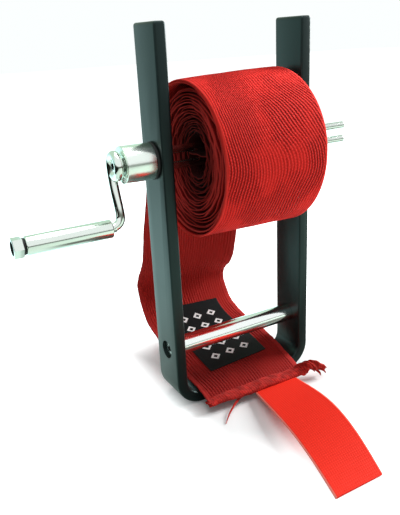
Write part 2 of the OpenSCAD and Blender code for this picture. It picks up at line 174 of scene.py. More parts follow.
class RollerStage(bpy.types.PropertyGroup):
    """Camera, floor and light."""

    eye: bpy.props.FloatVectorProperty(
        name="Camera", description="Where the camera stands",
        default=(-0.152018, -0.240236, 0.173386), subtype="TRANSLATION", unit="LENGTH",
    )
    turn: bpy.props.FloatVectorProperty(
        name="Turn", description="Yaw to the right, pitch down and roll of the camera",
        default=tuple(math.radians(a) for a in (29.0253, 20.13861, -2.92509)), unit="ROTATION",
    )
    lens: number("Lens", "Focal length in millimetres on a 36 mm sensor", 42.142)
    floor: colour("Floor", "Pale floor", (0.86, 0.89, 0.89))
    room: colour("Room", "Dim room in front, seen only in the metal", (0.15, 0.165, 0.14))
    sky: colour("Backdrop sheen", "Wall behind as the metal mirrors it", (0.60, 0.79, 0.64))
    ground: colour("Floor sheen", "Floor in front as the metal mirrors it", (0.42, 0.50, 0.44))
    tint: colour("Backdrop tint", "Backdrop as the metal and paint mirror it", (0.7, 1.0, 0.98))
    ambient: number("Ambient", "Level of the even light from all round", 0.28)
    key: number("Key light", "Power of the main soft light", 5.7, "POWER")


class Value:
    """A number that varies over a surface; arithmetic on it adds the Math nodes."""

    def __init__(self, nodes, socket):
        self.nodes = nodes
        self.socket = socket

    def math(self, operation, *others):
        return self.nodes.node("ShaderNodeMath", {"operation": operation}, [self, *others])

    def __add__(self, other):
        return self.math("ADD", other)

    def __mul__(self, other):
        return self.math("MULTIPLY", other)

    __radd__ = __add__
    __rmul__ = __mul__

    def __sub__(self, other):
        return self.math("SUBTRACT", other)

    def __rsub__(self, other):
        return self.nodes.node("ShaderNodeMath", {"operation": "SUBTRACT"}, [other, self])

    def __truediv__(self, other):
        return self.math("DIVIDE", other)

    def wave(self, step):
        """From 0 to 1 and back once in each step."""
        return (self * (TAU / step)).math("SINE") * 0.5 + 0.5

    def abs(self):
        return self.math("ABSOLUTE")

    def above(self, low, high):
        """0 below low, 1 above high, smooth between."""
        return self.nodes.node(
            "ShaderNodeMapRange", {"interpolation_type": "SMOOTHSTEP"},
            {"Value": self, "From Min": low, "From Max": high},
        )


class Nodes:
    """A node tree and short ways to add to it."""

    def __init__(self, tree):
        self.tree = tree

    def node(self, kind, settings=None, inputs=(), output=0):
        """Adds a node, sets its settings, then the values or links of its sockets."""
        made = self.tree.nodes.new(kind)
        for key, value in (settings or {}).items():
            setattr(made, key, value)
        for key, value in inputs.items() if isinstance(inputs, dict) else enumerate(inputs):
            if isinstance(value, Value):
                self.link(value, made.inputs[key])
            else:
                made.inputs[key].default_value = value
        return Value(self, made.outputs[output])

    def link(self, value, socket):
        self.tree.links.new(value.socket, socket)

    def blend(self, share, first, second):
        """Mixes two colours by a share."""
        def full(c):
            return c if isinstance(c, Value) else (*c[:3], 1)
        return self.node(
            "ShaderNodeMix", {"data_type": "RGBA"}, {0: share, 6: full(first), 7: full(second)}, 2
        )

    def split(self, vector):
        """The three parts of a vector."""
        outputs = self.node("ShaderNodeSeparateXYZ", inputs=[vector]).socket.node.outputs
        return [Value(self, each) for each in outputs]

    def rays(self):
        """1 for rays off a shiny surface, and 1 for all rays that show a thing to the eye."""
        outputs = self.node("ShaderNodeLightPath").socket.node.outputs
        camera, glossy, through = (
            Value(self, outputs[f"Is {kind} Ray"]) for kind in ("Camera", "Glossy", "Transmission")
        )
        return glossy, (camera + glossy + through).math("MINIMUM", 1.0)


class Finish(Nodes):
    """One material, with the nodes that make it up."""

    def __init__(self, name, **fixed):
        self.material = bpy.data.materials.new(name)
        self.material.use_nodes = True
        super().__init__(self.material.node_tree)
        self.shader = self.tree.nodes["Principled BSDF"]
        for key, value in fixed.items():
            self.shader.inputs[key.replace("_", " ")].default_value = value

    def place(self):
        """Object coordinates."""
        return self.node("ShaderNodeTexCoord", output=3)

    def weave(self):
        """Millimetres across and along a cloth piece, from its own map."""
        return self.split(self.node("ShaderNodeUVMap", {"uv_map": "weave"}))[:2]

    def vector(self, x, y, z=0.0):
        return self.node("ShaderNodeCombineXYZ", inputs=[x, y, z])

    def noise(self, vector, scale=1.0, detail=2.0, rough=0.5):
        return self.node(
            "ShaderNodeTexNoise",
            inputs={"Vector": vector, "Scale": scale, "Detail": detail, "Roughness": rough},
        )

    def done(self, colour, roughness, relief, distance, strength):
        """Links what changes over the surface, with a bump of a given height."""
        normal = self.node(
            "ShaderNodeBump",
            inputs={"Strength": strength, "Distance": distance, "Height": relief},
        )
        self.link(colour, self.shader.inputs["Base Color"])
        self.link(roughness, self.shader.inputs["Roughness"])
        self.link(normal, self.shader.inputs["Normal"])
        return self.material


def painted_black(props):
    """Satin paint with a fine peel and a cool sheen."""
    f = Finish("satin_black_paint", Specular_IOR_Level=0.44, Specular_Tint=(0.62, 1.0, 0.97, 1.0))
    where = f.place()
    cloud = f.noise(where, scale=60.0, detail=4.0, rough=0.6)
    peel = f.noise(where, scale=1500.0)
    black = f.blend(cloud, scaled(props.paint, 0.75), scaled(props.paint, 1.4))
    roughness = cloud * 0.1 + peel * 0.06 + 0.26
    return f.done(black, roughness, peel, distance=0.02 * MM, strength=0.5)


def plated(props, name="satin_chrome", dull=0.13, painted_light_gain=1.0):
    """Chrome with a fine grain along X, its least roughness and its brightness given; a brightness
    above or below 1 makes a lighter or darker copy: painted highlight or painted shade.
    """
    f = Finish(name, Metallic=1.0)
    where = f.place()
    cloud = f.noise(where, scale=90.0, detail=3.0)
    drawn_out = (300.0, 6000.0, 6000.0)
    grain = f.noise(f.node("ShaderNodeVectorMath", {"operation": "MULTIPLY"}, [where, drawn_out]))
    bright = scaled(props.chrome, painted_light_gain)
    silver = f.blend(cloud, scaled(bright, 0.94), bright)
    roughness = cloud * 0.06 + grain * 0.06 + dull
    return f.done(silver, roughness, grain, distance=0.002 * MM, strength=0.3)


def bright_steel(props):
    """Clouded steel of the screws."""
    f = Finish("bright_steel", Metallic=1.0)
    cloud = f.noise(f.place(), scale=700.0, detail=4.0)
    grey = f.blend(cloud, scaled(props.steel, 0.8), props.steel)
    return f.done(grey, cloud * 0.12 + 0.18, cloud, distance=0.01 * MM, strength=0.4)


def black_nylon(props):
    """Dull black of the nylon washers, also laid on the walls of sockets as painted shade."""
    f = Finish("black_nylon", Specular_IOR_Level=0.4)
    cloud = f.noise(f.place(), scale=800.0, detail=3.0)
    black = f.blend(cloud, props.nylon, scaled(props.nylon, 1.8))
    return f.done(black, cloud * 0.2 + 0.45, cloud, distance=0.01 * MM, strength=0.5)


def ribbed_knit(name, lit, shaded, wander, contrast, edge, fan=None, painted_shading=None, rim=None, rib=1.5):
    """Elastic knit: ribs along the cloth, small loops in each rib, bright selvages.

    Ribs move over at the length fan. A second colour can be laid along the cloth by a given share,
    as painted light or painted shade. The grooves between the ribs get painted shade, and the
    selvages, a smooth band, a painted highlight. What lies before the length rim is inside a roll:
    its faces get painted shade, darkest at the core, and its edges a painted highlight.
    """
    f = Finish(name, Sheen_Weight=0.03, Sheen_Roughness=0.5, Specular_IOR_Level=0.08)
    across, along = f.weave()
    slow = f.noise(f.vector(across * 0.02, along * 0.028), detail=1.0)
    quick = f.noise(f.vector(across * 0.5, along * 0.5, 5.0), detail=1.0)
    line = across + (slow - 0.5) * wander + (quick - 0.5) * 0.5
    if fan:
        line = line + across.above(1.0, 26.0) * along.above(fan - 20.0, fan + 22.0) * 13.0
    ridge = line.wave(rib)
    loops = (along + (line / rib).math("FLOOR") * 0.65).wave(1.3)
    patch = f.noise(f.vector(across * 0.06, along * 0.045, 3.0)).above(0.35, 0.6)
    fuzz = f.noise(f.vector(across * 2.2, along * 2.2, 7.0), detail=3.0, rough=0.7)
    depth = (patch * 0.6 + 0.4) * edge(across)
    knit = (ridge - 1.0) * depth * contrast + (loops - 0.6) * depth * 0.38
    knit = knit + (fuzz - 0.5) * 0.75 + 0.97
    # Painted highlight on the selvage, half again as light as the ribs; inside a roll, painted
    # highlight on the turns' edges and painted shade on their faces.
    selvage = scaled(lit, 1.5, 0.012)
    inner_edge_highlight, inner_face_shade = scaled(lit, 1.6, 0.045), scaled(shaded, 0.9)
    # Painted light or shade along the cloth, when a share and colour are given.
    if painted_shading:
        share, other = painted_shading(along)
        lit, shaded = f.blend(share, lit, other), f.blend(share, shaded, other)
    # Painted shade: the grooves between the ribs take the darker colour.
    threads = f.blend(knit.above(-0.05, 1.05), shaded, lit)
    if rim:
        outer = along.above(rim - 8.0, rim)
        # Painted shade toward the core: the inner edges and faces darken.
        clear_of_core_shade = along.above(150.0, 1300.0)
        inner_edge_highlight = f.blend(clear_of_core_shade, scaled(inner_edge_highlight, 0.4), inner_edge_highlight)
        inner_face_shade = f.blend(clear_of_core_shade, scaled(inner_face_shade, 0.15), inner_face_shade)
        selvage = f.blend(outer, inner_edge_highlight, selvage)
        threads = f.blend(outer, inner_face_shade, threads)
    red = f.blend((1 - edge(across)) * 0.75, threads, selvage)
    relief = ridge * depth + loops * ridge * depth * 0.5 + fuzz * 0.35
    return f.done(red, fuzz * 0.2 + 0.75, relief, distance=0.4 * MM, strength=0.8)


def satin_label(props):
    """Black satin with rows of pale woven lozenges inside a plain border."""
    f = Finish("black_satin_label", Specular_IOR_Level=0.15)
    across, along = f.weave()
    twill, thread = (across + along).wave(0.5), along.wave(0.32)
    from_middle = across - LABEL_WIDE / 2, along - LABEL_LONG / 2

    def off_cell(distance):
        return ((distance / LOZENGE + 0.5).math("FRACT") - 0.5).abs()

    reach = off_cell(from_middle[0]) + off_cell(from_middle[1])
    ring = reach.above(0.12, 0.16) - reach.above(0.3, 0.34)
    inside_x, inside_y = (
        1 - distance.abs().above(limit, limit + 0.2)
        for distance, limit in zip(from_middle, (13.2, 22.2))
    )
    mark = (ring * (inside_x * inside_y)).above(0.4, 0.6)
    black = props.label_black
    ground = f.blend(twill * 0.5 + thread * 0.3, black, scaled(black, 1.9))
    woven = f.blend(mark, ground, props.label_white)
    relief = twill * 0.6 + thread * 0.4 + mark * 0.8
    return f.done(woven, twill * 0.15 + 0.5, relief, distance=0.08 * MM, strength=0.6)


def hem_cloth(props):
    """Fuzzy doubled knit."""
    f = Finish("red_hem_knit", Sheen_Weight=0.05, Sheen_Roughness=0.5, Specular_IOR_Level=0.1)
    across, along = f.weave()
    knots = along.wave(1.3) * across.wave(0.9)
    fuzz = f.noise(f.vector(across * 2.0, along * 2.0), detail=3.0, rough=0.7)
    patch = f.noise(f.vector(across * 0.3, along * 0.25, 5.0))
    # Painted light and shade: random patches lighten the hem as on lit bulges and darken it as in
    # shaded creases.
    light = (knots * 0.35 + fuzz * 0.7 + (patch - 0.5) * 1.2 + 0.1).above(0.2, 1.1)
    red = f.blend(light, scaled(props.hem_red, 0.32), props.hem_red)
    relief = knots * 0.6 + fuzz * 0.6
    return f.done(red, fuzz * 0.2 + 0.75, relief, distance=0.3 * MM, strength=0.8)


def hook_tape(props):
    """Rows of tiny hooks on a bright tape with a pale selvage."""
    f = Finish("orange_red_hooks", Specular_IOR_Level=0.08)
    across, along = f.weave()
    hooks = along.wave(1.25) * across.wave(1.05)
    grain = f.noise(f.vector(across * 1.4, along * 1.4))
    edge = (across - STRIP_WIDE / 2).abs().above(11.9, 12.4)
    light = (hooks * 0.6 + grain * 0.6).above(0.1, 0.9)
    face = f.blend(light, scaled(props.hook_red, 0.88), scaled(props.hook_red, 1.05))
    red = f.blend(edge, face, props.hook_edge)
    relief = hooks * (1 - edge) + grain * 0.2
    return f.done(red, grain * 0.15 + 0.55, relief, distance=0.25 * MM, strength=0.5)


def deselect():
    """Leaves edit mode and clears the selection."""
    if bpy.context.object and bpy.context.object.mode != "OBJECT":
        bpy.ops.object.mode_set(mode="OBJECT")
    bpy.ops.object.select_all(action="DESELECT")


def take(obj):
    """Makes one object the only selected and active one."""
    deselect()
    obj.select_set(True)
    bpy.context.view_layer.objects.active = obj


def settle(obj):
    """Puts the place, turn and size of a new piece into its mesh."""
    take(obj)
    bpy.ops.object.transform_apply(location=True, rotation=True, scale=True)


def pick(obj, kind, test):
    """Enters edit mode and selects the edges or faces that pass a test."""
    take(obj)
    bpy.ops.object.mode_set(mode="EDIT")
    bpy.ops.mesh.select_mode(type=kind)
    bpy.ops.mesh.select_all(action="DESELECT")
    shape = bmesh.from_edit_mesh(obj.data)
    for item in {"EDGE": shape.edges, "FACE": shape.faces}[kind]:
        if test(item):
            item.select_set(True)
    shape.select_flush_mode()
    bmesh.update_edit_mesh(obj.data)


def round_edges(obj, test, offset, segments):
    """Bevels the edges that pass a test."""
    pick(obj, "EDGE", test)
    bpy.ops.mesh.bevel(offset=offset, segments=segments, affect="EDGES")
    deselect()


def is_across(edge):
    """Whether both ends of an edge are at the same X."""
    return abs(edge.verts[0].co.x - edge.verts[1].co.x) < NEAR


def is_sharp(edge):
    return len(edge.link_faces) == 2 and edge.calc_face_angle() > 0.7


def at_height(height):
    """A test for edges that run straight through the flat bar's depth at a height."""
    def test(edge):
        return is_across(edge) and all(abs(v.co.z - height) < NEAR for v in edge.verts)
    return test


def is_cap(face):
    """Whether a face closes the end of a piece that runs along X."""
    return abs(face.normal.x) > 0.999 and len(face.verts) > 8


def cut(obj, tool):
    """Takes one shape out of another and deletes the tool."""
    take(obj)
    made = obj.modifiers.new("cut", "BOOLEAN")
    made.operation, made.object, made.solver = "DIFFERENCE", tool, "EXACT"
    bpy.ops.object.modifier_apply(modifier=made.name)
    bpy.data.meshes.remove(tool.data)


def block(low, high):
    """A box between two corners."""
    deselect()
    middle = [(a + b) / 2 for a, b in zip(low, high)]
    bpy.ops.mesh.primitive_cube_add(size=1, location=middle)
    obj = bpy.context.object
    obj.scale = [b - a for a, b in zip(low, high)]
    settle(obj)
    return obj


def rod_x(left, right, across, height, sides=64):
    """A plain rod along X."""
    deselect()
    bpy.ops.mesh.primitive_cylinder_add(
        vertices=sides, radius=across / 2, depth=right - left,
        location=((left + right) / 2, 0, height), rotation=(0, math.pi / 2, 0),
    )
    obj = bpy.context.object
    settle(obj)
    return obj


def turned(left, right, across, height, rim, bore=0.0):
    """A turned piece along X with rounded rims and, where given, a through bore."""
    obj = rod_x(left, right, across, height)
    round_edges(obj, is_across, rim, 3)
    if bore:
        pick(obj, "FACE", is_cap)
        bpy.ops.mesh.inset(thickness=across / 2 - rim - bore / 2, use_individual=True)
        bpy.ops.mesh.bridge_edge_loops()
        deselect()
    return obj


def socket_cut(obj, left, right, across, height, sides=6):
    """Cuts a socket and marks its walls for a second, darker finish: painted shade in the recess.
    """
    cut(obj, rod_x(left, right, across, height, sides))
    ends = [v.co.x for v in obj.data.vertices]
    low, high = min(ends) + 10 * NEAR, max(ends) - 10 * NEAR
    for face in obj.data.polygons:
        x, y, z = face.center
        near = math.hypot(y, z - height) < across / 2
        face.material_index = int(near and low < x < high and left < x <= right + NEAR)


def dress(obj, name, body, slot, material, *nodes):
    """Names a piece, gives it its finish and lets it stand for its CAD nodes."""
    obj.name = name
    obj.data.name = name
    marks = [face.material_index for face in obj.data.polygons]
    obj.data.materials.clear()
    for each in material if isinstance(material, list) else [material]:
        obj.data.materials.append(each)
    obj.data.polygons.foreach_set("material_index", marks)
    take(obj)
    bpy.ops.object.shade_smooth_by_angle(angle=math.radians(35))
    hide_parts(*nodes)
    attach(obj, body)


def unit(v):
    return v / np.maximum(np.linalg.norm(v, axis=-1, keepdims=True), 1e-12)


def smooth(low, high, x):
    """0 at low, 1 at high, smooth between."""
    t = np.clip((x - low) / (high - low), 0, 1)
    return t * t * (3 - 2 * t)


def ripple(x, seed):
    """A slow wander between about -1 and 1."""
    waves = ((1.0, 1.0, 1.0), (0.6, 2.3, 1.7), (0.4, 5.1, 2.9))
    return sum(size * np.sin(x * rate + seed * shift) for size, rate, shift in waves) / 2


def along_rows(rows, place):
    """Smooth curve through the rows of a list, for places between 0 and 1."""
    rows = np.asarray(rows, float)
    last = len(rows) - 1
    i = np.minimum(np.floor(place * last).astype(int), last - 1)
    t = (place * last - i)[:, None]
    a, b, c, d = (rows[np.clip(i + k, 0, last)] for k in (-1, 0, 1, 2))
    square, cube = 2 * a - 5 * b + 4 * c - d, 3 * b - a - 3 * c + d
    return 0.5 * (2 * b + (c - a) * t + square * t**2 + cube * t**3)


def distances(line):
    """Distance along a line of points, from the first to each."""
    return np.concatenate([[0], np.cumsum(np.linalg.norm(np.diff(line, axis=0), axis=1))])


def lengths(middle):
    """Distance along the middle column of a sheet's grid."""
    return distances(middle[:, middle.shape[1] // 2])


def grid(x, y, z):
    """Points from rows, columns or whole grids of coordinates."""
    return np.stack(np.broadcast_arrays(x, y, z), axis=-1)


def rounded(cols, width, edge):
    """Places across a strip, close at its edges, and the share of thickness there."""
    near = edge * np.array([0, 0.12, 0.4, 0.8, 1.3])
    inner = np.linspace(-width / 2 + 2.4 * edge, width / 2 - 2.4 * edge, cols)
    x = np.concatenate([-width / 2 + near, inner, width / 2 - near[::-1]])
    share = np.clip((width / 2 - np.abs(x)) / edge, 0, 1)
    return x, np.sqrt(1 - (1 - share) ** 2) * 0.9 + 0.1


def add_mesh(points, faces):
    """A new object with a mesh of its own."""
    mesh = bpy.data.meshes.new("piece")
    mesh.from_pydata(points.tolist(), [], faces)
    obj = bpy.data.objects.new("piece", mesh)
    bpy.context.collection.objects.link(obj)
    return obj


def cloth(middle, half, across, along):
    """A closed thin sheet round a grid of points, with a map in millimetres."""
    rows, cols = middle.shape[:2]
    half, across, along = (np.broadcast_to(each, (rows, cols)) for each in (half, across, along))
    normal = unit(np.cross(np.gradient(middle, axis=0), np.gradient(middle, axis=1)))
    upper = middle + normal * half[..., None]
    lower = middle - normal * half[..., None]
    points = np.concatenate([upper.reshape(-1, 3), lower.reshape(-1, 3)])
    top = np.arange(rows * cols).reshape(rows, cols)
    low = top + rows * cols

    def quads(a, b, c, d):
        return np.stack([a, b, c, d], axis=-1).reshape(-1, 4)

    faces = np.concatenate([
        quads(top[:-1, :-1], top[1:, :-1], top[1:, 1:], top[:-1, 1:]),
        quads(low[:-1, :-1], low[:-1, 1:], low[1:, 1:], low[1:, :-1]),
        quads(top[:-1, 0], low[:-1, 0], low[1:, 0], top[1:, 0]),
        quads(top[1:, -1], low[1:, -1], low[:-1, -1], top[:-1, -1]),
        quads(top[0, 1:], low[0, 1:], low[0, :-1], top[0, :-1]),
        quads(top[-1, :-1], low[-1, :-1], low[-1, 1:], top[-1, 1:]),
    ])
    obj = add_mesh(points, faces.tolist())
    pair = np.stack([across, along], axis=-1).reshape(-1, 2) / MM
    pair = np.concatenate([pair, pair])
    layer = obj.data.uv_layers.new(name="weave")
    corners = np.empty(len(obj.data.loops), dtype=np.int32)
    obj.data.loops.foreach_get("vertex_index", corners)
    layer.data.foreach_set("uv", pair[corners].astype(np.float32).ravel())
    return obj


def tube(points, radii, sides, steps=10):
    """A round, closed cord of changing thickness through a list of points."""
    place = np.linspace(0, 1, steps * (len(points) - 1) + 1)
    line = along_rows(points, place)
    radius = np.interp(place, np.linspace(0, 1, len(radii)), radii)
    ahead = unit(np.gradient(line, axis=0))
    askew = np.array([0.75, 0.45, 0.48])  # no cord here runs along it
    side = unit(np.cross(ahead, askew))[:, None]
    over = np.cross(ahead, side[:, 0])[:, None]
    turn = np.linspace(0, TAU, sides, endpoint=False)[None, :, None]
    ring = np.cos(turn) * side + np.sin(turn) * over
    points = (line[:, None] + ring * radius[:, None, None]).reshape(-1, 3)
    index = np.arange(len(points)).reshape(-1, sides)
    after = np.roll(index, -1, axis=1)
    walls = np.stack([index[:-1], after[:-1], after[1:], index[1:]], axis=-1).reshape(-1, 4)
    ends = [index[0][::-1].tolist(), index[-1].tolist()]
    obj = add_mesh(points * MM, walls.tolist() + ends)
    pick(obj, "FACE", lambda face: True)
    bpy.ops.mesh.normals_make_consistent(inside=False)
    deselect()
    return obj


class ROLLER_OT_frame(bpy.types.Operator):
    """Bent flat-bar frame with eased edges, bearing bores and sunk screw holes"""

    bl_idname = "roller.frame"
    bl_label = "Frame"

    def execute(self, context):
        props = context.scene.roller_metal
        low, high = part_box("frame")
        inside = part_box("guide_rod")[1][0]
        wall = high[0] - inside
        bar = block(low, high)
        hollow = block((-inside, 3 * low[1], wall), (inside, 3 * high[1], 2 * high[2]))
        round_edges(bar, at_height(low[2]), props.inside_bend + wall, 16)
        round_edges(hollow, at_height(wall), props.inside_bend, 16)
        cut(bar, hollow)
        round_edges(bar, at_height(high[2]), TOP_EASE, 6)
        round_edges(bar, is_sharp, props.edge, 4)
        cut(bar, rod_x(2 * low[0], 2 * high[0], BORE, span("thrust_washer")[3], 96))
        rod_height = span("guide_rod")[3]
        seat = span("rod_screw_left")[2] + SEAT_ROOM
        cut(bar, rod_x(2 * low[0], low[0] + SEAT_DEPTH, seat, rod_height))
        cut(bar, rod_x(high[0] - SEAT_DEPTH, 2 * high[0], seat, rod_height))
        dress(bar, "bent_frame", "frame", "black_paint", painted_black(props), "frame")
        return {"FINISHED"}


class ROLLER_OT_rod(bpy.types.Operator):
    """Chromed guide rod with its two sunk socket screws"""

    bl_idname = "roller.rod"
    bl_label = "Guide rod"

    def execute(self, context):
        props = context.scene.roller_metal
        # dark is painted shade on the walls of the screws' sockets.
        steel, dark = bright_steel(props), black_nylon(props)
        # Painted highlight: a lighter copy of the chrome for the rod.
        chrome = plated(props, "rod_chrome_painted_highlight", dull=0.1, painted_light_gain=1.16)
        rod = turned(*span("guide_rod"), ROD_RIM)
        dress(rod, "guide_bar", "frame", "chrome", chrome, "guide_rod")
        for side in ("left", "right"):
            node = "rod_screw_" + side
            left, right, across, height = span(node)
            outer, inward = (left, 1) if side == "left" else (right, -1)
            head = sorted((outer, outer + inward * SCREW_HEAD))
            screw = turned(*head, across, height, props.rim)
            hollow = sorted((outer - inward * MM, outer + inward * SOCKET_DEPTH))
            socket_cut(screw, *hollow, SOCKET, height)
            dress(screw, "sunk_screw_" + side, "frame", "bright_steel", [steel, dark], node)
        return {"FINISHED"}


class ROLLER_OT_spindle(bpy.types.Operator):
    """Fork spindle: hub with its journal, two round-tipped prongs and a thrust washer"""

    bl_idname = "roller.spindle"
    bl_label = "Spindle"

    def execute(self, context):
        props = context.scene.roller_metal
        # Painted light and shade: a lighter copy of the chrome for the hub, a darker one for the
        # prongs.
        soft = plated(props, "brushed_hub_painted_highlight", dull=0.17, painted_light_gain=1.1)
        dim = plated(props, "prong_chrome_painted_shade", dull=0.1, painted_light_gain=0.76)
        left, right, across, axis = span("hub")
        face = span("thrust_washer")[0] - PLAY
        across = across * HUB_SWELL
        hub = turned(left + props.hub_short, face, across, axis, props.rim)
        pick(hub, "FACE", lambda f: is_cap(f) and f.normal.x > 0)
        bpy.ops.mesh.inset(thickness=across / 2 - props.rim - JOURNAL / 2)
        bpy.ops.mesh.extrude_region_move(TRANSFORM_OT_translate={"value": (right - face, 0, 0)})
        deselect()
        dress(hub, "spindle_hub", "spindle", "chrome", soft, "hub")
        for which in ("upper", "lower"):
            left, right, across, height = span("prong_" + which)
            height += (axis - height) * PRONG_PINCH
            prong = rod_x(left, right, across * PRONG_SWELL, height, 32)
            tip = across * PRONG_TIP
            round_edges(prong, lambda e: is_across(e) and e.verts[0].co.x > 0, tip, 8)
            dress(prong, "fork_prong_" + which, "spindle", "chrome", dim, "prong_" + which)
        left, right, across, height = span("thrust_washer")
        washer = turned(left, right, across * RING_SHARE, height, 0.25 * MM, JOURNAL + PLAY)
        dress(washer, "thrust_ring", "spindle", "black_nylon", black_nylon(props), "thrust_washer")
        return {"FINISHED"}


class ROLLER_OT_crank(bpy.types.Operator):
    """Bent crank arm with its eye and screw, and the turning handle with washer and nut"""

    bl_idname = "roller.crank"
    bl_label = "Crank"

    def execute(self, context):
        props = context.scene.roller_metal
        # dark is painted shade on the walls of the sockets in the crank screw and the end nut.
        chrome, dark = plated(props), black_nylon(props)
        soft = plated(props, "brushed_chrome", dull=0.08)
        self.arm(props, chrome, dark)
        left, right, across, height = span("handle_sleeve")
        sleeve = turned(left, right, across * SLEEVE_SWELL, height, 0.6 * MM, bore=4.1 * MM)
        dress(sleeve, "handle_tube", "handle", "chrome", soft, "handle_sleeve")
        ring = turned(*span("handle_washer"), 0.15 * MM, bore=4.06 * MM)
        dress(ring, "handle_ring", "spindle", "black_nylon", black_nylon(props), "handle_washer")
        left, right, across, _ = span("handle_nut")
        nut = rod_x(left, right, across, height, 6)
        round_edges(nut, is_across, 0.35 * MM, 2)
        socket_cut(nut, left - MM, left + 1.6 * MM, 6.2 * MM, height, 32)
        dress(nut, "end_nut", "spindle", "chrome", [chrome, dark], "handle_nut")
        return {"FINISHED"}

    def arm(self, props, chrome, dark):
        """Bent wire from an eye at the hub to the axle leg in the handle, and its screw."""
        eye_height = span("arm_screw")[3]
        bottom, top = span("handle_sleeve")[3] / MM, eye_height / MM
        eye_x, eye, wire, axle = -58.0, 4.7, 2.05, 1.98
        turn = [math.radians(a) for a in range(300, 0, -30)]
        path = [(eye_x, eye * math.cos(a), top + eye * math.sin(a)) for a in turn]
        path += [
            (eye_x, eye, top - 0.5), (eye_x, 3.9, top - 6.0), (-57.9, 2.4, top - 12.5),
            (-57.6, 0.9, top - 19.0), (-57.6, 0.2, bottom + 4.0), (-58.7, 0.0, bottom + 1.6),
            (-61.2, 0.0, bottom + 0.2), (-64.0, 0.0, bottom),
            (span("handle_sleeve")[0] / MM, 0.0, bottom),
            (span("handle_nut")[0] / MM + 1.2, 0.0, bottom),
        ]
        radii = [1.9] + [wire] * (len(path) - 5) + [2.0, axle, axle, axle]
        arm = tube(path, radii, sides=28)
        bright = plated(props, "bright_chrome", dull=0.0)
        dress(arm, "crank", "spindle", "chrome", bright, "crank_arm")
        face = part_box("crank_arm")[1][0] + props.hub_short
        head = turned(-59.0 * MM, face + PLAY, 5.2 * MM, eye_height, 0.4 * MM)
        socket_cut(head, -60.0 * MM, -57.6 * MM, 3.2 * MM, eye_height)
        dress(head, "crank_screw", "spindle", "bright_steel", [chrome, dark], "arm_screw")


def spiral(props, points):
    """Places along the wound strip: turn count, radius and angle about the roll's middle."""
    turn = np.linspace(0, props.turns, points * props.turns + 1)
    uneven = 0.13 * smooth(0, 4, turn)
    radius = props.core + props.pitch * (turn + uneven * np.sin(math.pi * turn))
    radius = radius + props.slack * smooth(props.turns - 1.75, props.turns - 1.2, turn)
    start = math.asin(TUCK / props.core)
    return turn, radius, start - TAU * turn


